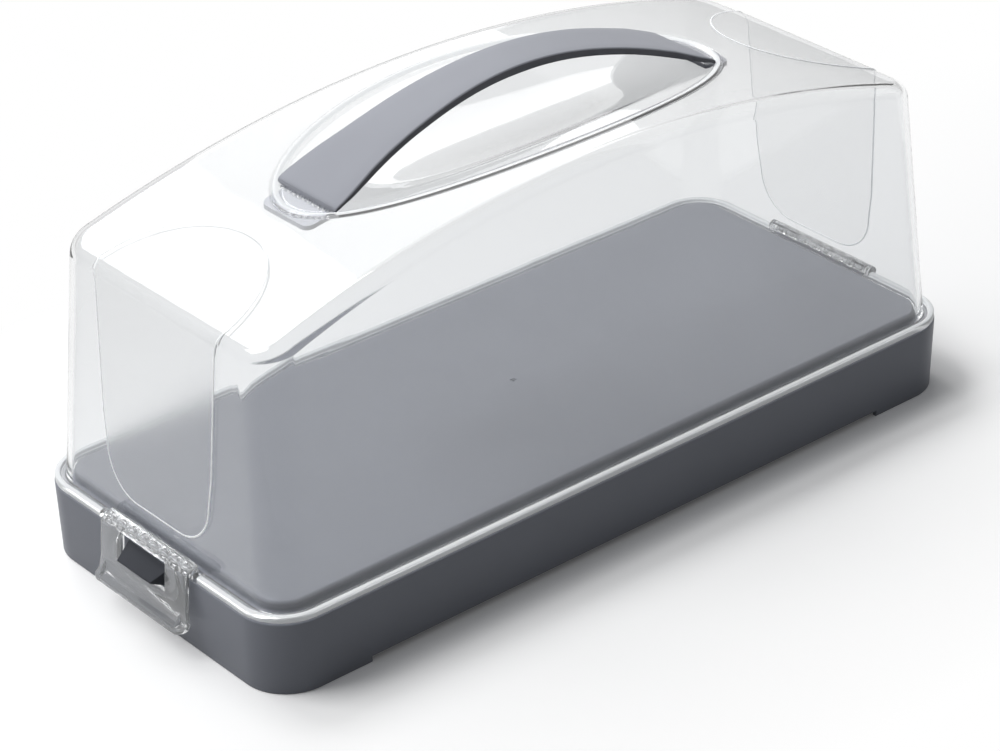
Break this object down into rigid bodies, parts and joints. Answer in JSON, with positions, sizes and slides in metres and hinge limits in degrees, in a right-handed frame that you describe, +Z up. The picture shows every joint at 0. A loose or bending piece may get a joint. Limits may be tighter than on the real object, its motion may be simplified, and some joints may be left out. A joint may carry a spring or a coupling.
{
  "type": "cake carrier with hinged lid",
  "caption": "Long cake carrier: grey serving base under a clear arched hood with a flexible carrying strap and a clear snap clip on each short end.",
  "frame": {"origin": "centre of the base's footprint, on the surface it stands on", "axes": "+X along the length, towards the clip whose rod the hood turns on; +Y across the width; +Z up"},
  "size_m": [0.3984, 0.1658, 0.1917],
  "materials": {
    "base_plastic": "satin grey moulded plastic with a very fine grain",
    "clear_plastic": "clear, colourless polished plastic",
    "strap_plastic": "satin grey flexible plastic"
  },
  "bodies": {
    "base": {"base_tray": "base_plastic"},
    "hood": {"hood": "clear_plastic", "carry_strap": "strap_plastic"},
    "left_clip": {"left_clip": "clear_plastic"},
    "right_clip": {"right_clip": "clear_plastic"}
  },
  "joints": [
    {"name": "lid_swing", "type": "hinge", "parent": "base", "child": "hood", "pos_m": [0.189, 0, 0.0366], "axis": [0, 1, 0], "range_deg": [0, 75]},
    {"name": "left_clip_swing", "type": "hinge", "parent": "hood", "child": "left_clip", "pos_m": [-0.189, 0, 0.0366], "axis": [0, 1, 0], "range_deg": [0, 85]},
    {"name": "right_clip_swing", "type": "hinge", "parent": "base", "child": "right_clip", "pos_m": [0.189, 0, 0.0366], "axis": [0, -1, 0], "range_deg": [0, 85]}
  ]
}
